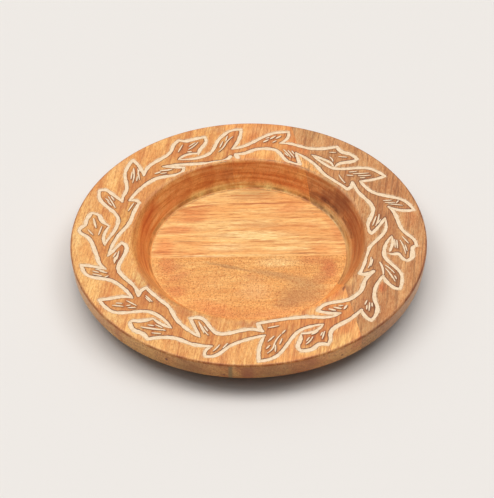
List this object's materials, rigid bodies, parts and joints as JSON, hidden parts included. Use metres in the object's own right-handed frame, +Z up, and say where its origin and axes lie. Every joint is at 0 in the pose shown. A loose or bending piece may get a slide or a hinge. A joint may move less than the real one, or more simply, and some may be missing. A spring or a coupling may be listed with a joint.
{
  "type": "offering plate",
  "caption": "Round wooden offering plate with a broad flat rim, a sloping wall and a flat-floored well; the rim carries a carved leaf garland filled with white paste.",
  "frame": {"origin": "centre of the flat face that the plate rests on, on the plate's turning axis", "axes": "+Z up along the turning axis, out of the well; -Y is the side nearest the viewer, and the glue line of the two floor boards runs along X"},
  "size_m": [0.305, 0.305, 0.03],
  "materials": {
    "wood_honey": "satin, open-pored honey-brown wood",
    "wood_amber": "satin, bright amber wood with straight stripes",
    "wood_tan": "satin, greyer tan wood with dark streaks",
    "limewash": "matte, chalky creamy-white paste"
  },
  "bodies": {
    "root": {"rim_board_left": "wood_honey", "rim_board_middle_back": "wood_amber", "rim_board_middle_front": "wood_amber", "rim_board_right": "wood_tan", "floor_board_back": "wood_amber", "floor_board_front": "wood_honey", "fill_leaf_a_1": "limewash", "fill_lobed_leaf_1": "limewash", "fill_lobed_base_1": "limewash", "fill_leaf_b_1": "limewash", "fill_inner_leaf_1": "limewash", "fill_inner_stem_1": "limewash", "fill_leaf_a_2": "limewash", "fill_lobed_leaf_2": "limewash", "fill_lobed_base_2": "limewash", "fill_leaf_b_2": "limewash", "fill_inner_leaf_2": "limewash", "fill_inner_stem_2": "limewash", "fill_leaf_a_3": "limewash", "fill_lobed_leaf_3": "limewash", "fill_lobed_base_3": "limewash", "fill_leaf_b_3": "limewash", "fill_inner_leaf_3": "limewash", "fill_inner_stem_3": "limewash", "fill_leaf_a_4": "limewash", "fill_lobed_leaf_4": "limewash", "fill_lobed_base_4": "limewash", "fill_leaf_b_4": "limewash", "fill_inner_leaf_4": "limewash", "fill_inner_stem_4": "limewash", "fill_leaf_a_5": "limewash", "fill_lobed_leaf_5": "limewash", "fill_lobed_base_5": "limewash", "fill_leaf_b_5": "limewash", "fill_inner_leaf_5": "limewash", "fill_inner_stem_5": "limewash", "fill_leaf_a_6": "limewash", "fill_lobed_leaf_6": "limewash", "fill_lobed_base_6": "limewash", "fill_leaf_b_6": "limewash", "fill_inner_leaf_6": "limewash", "fill_inner_stem_6": "limewash"}
  },
  "joints": []
}
